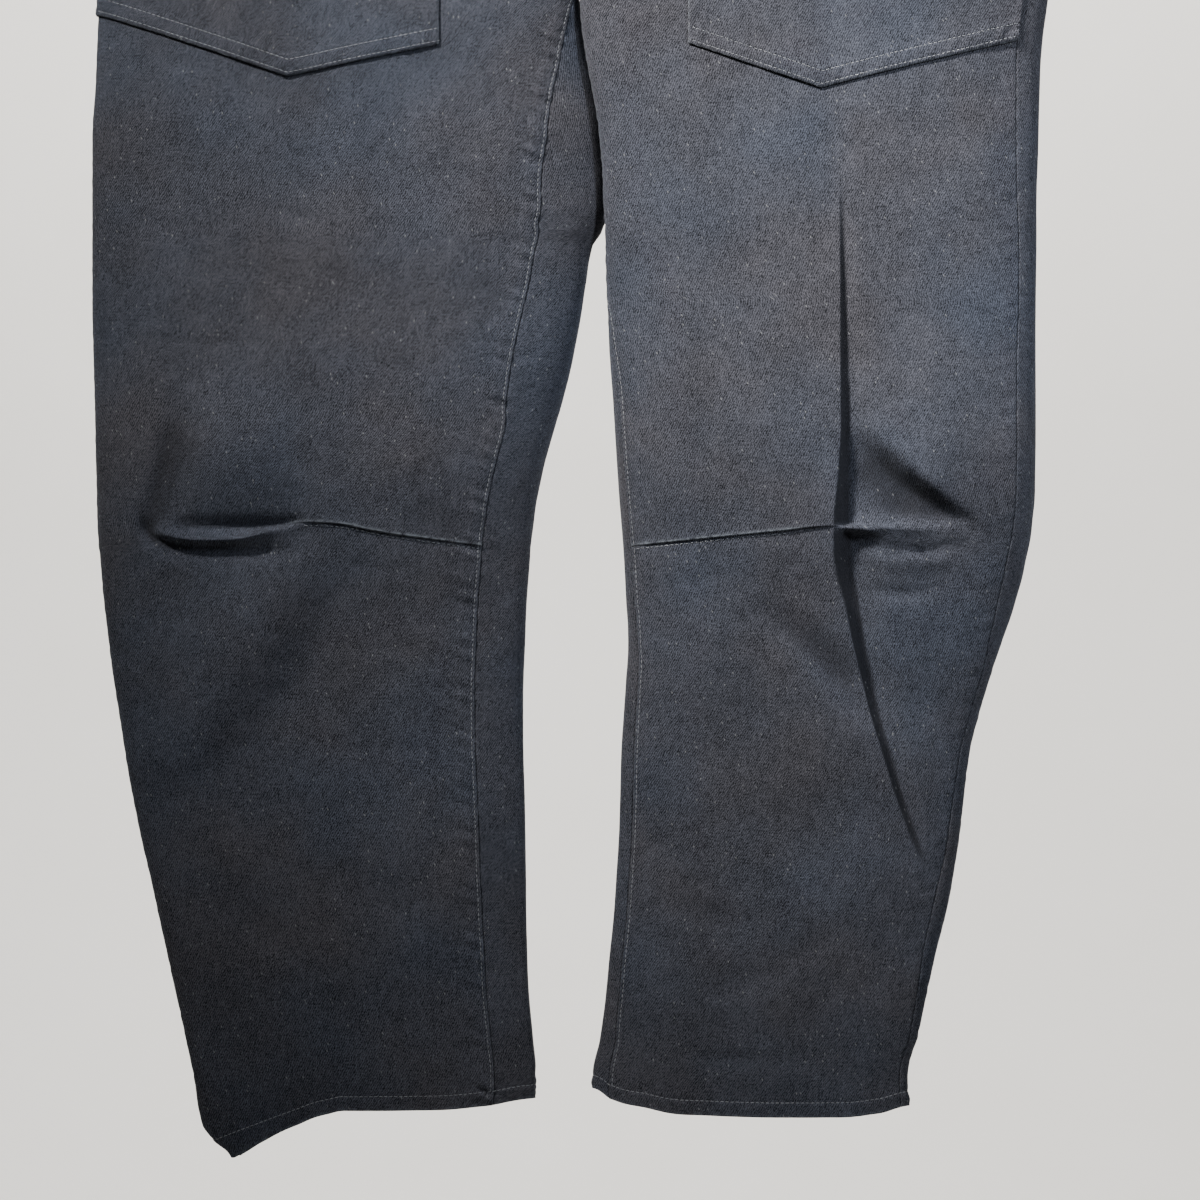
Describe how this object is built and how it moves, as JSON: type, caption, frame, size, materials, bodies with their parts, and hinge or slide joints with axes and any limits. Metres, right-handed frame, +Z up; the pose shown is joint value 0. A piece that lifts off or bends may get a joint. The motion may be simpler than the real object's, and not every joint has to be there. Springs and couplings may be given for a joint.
{
  "type": "barrel leg trousers on a clip hanger",
  "caption": "Wide barrel leg trousers with sewn knee darts and large front patch pockets, hanging flat from a plain clip hanger.",
  "frame": {"origin": "inside top of the hanger's hook, where a rail carries it", "axes": "+Z up, the front of the trousers faces -Y, the wearer's right leg is on the -X side"},
  "size_m": [0.5758, 0.0686, 1.0908],
  "materials": {
    "twill": "washed matte twill",
    "button": "dark horn, satin",
    "clip": "black, satin",
    "wire": "polished"
  },
  "bodies": {
    "root": {"front_right": "twill", "front_left": "twill", "back_right": "twill", "back_left": "twill", "pocket_right": "twill", "pocket_left": "twill", "waistband": "twill", "fly_placket": "twill", "waist_button": "button", "hanger_clip_right": "clip", "hanger_clip_left": "clip", "hanger_bar": "wire", "hanger_hook": "wire"}
  },
  "joints": []
}
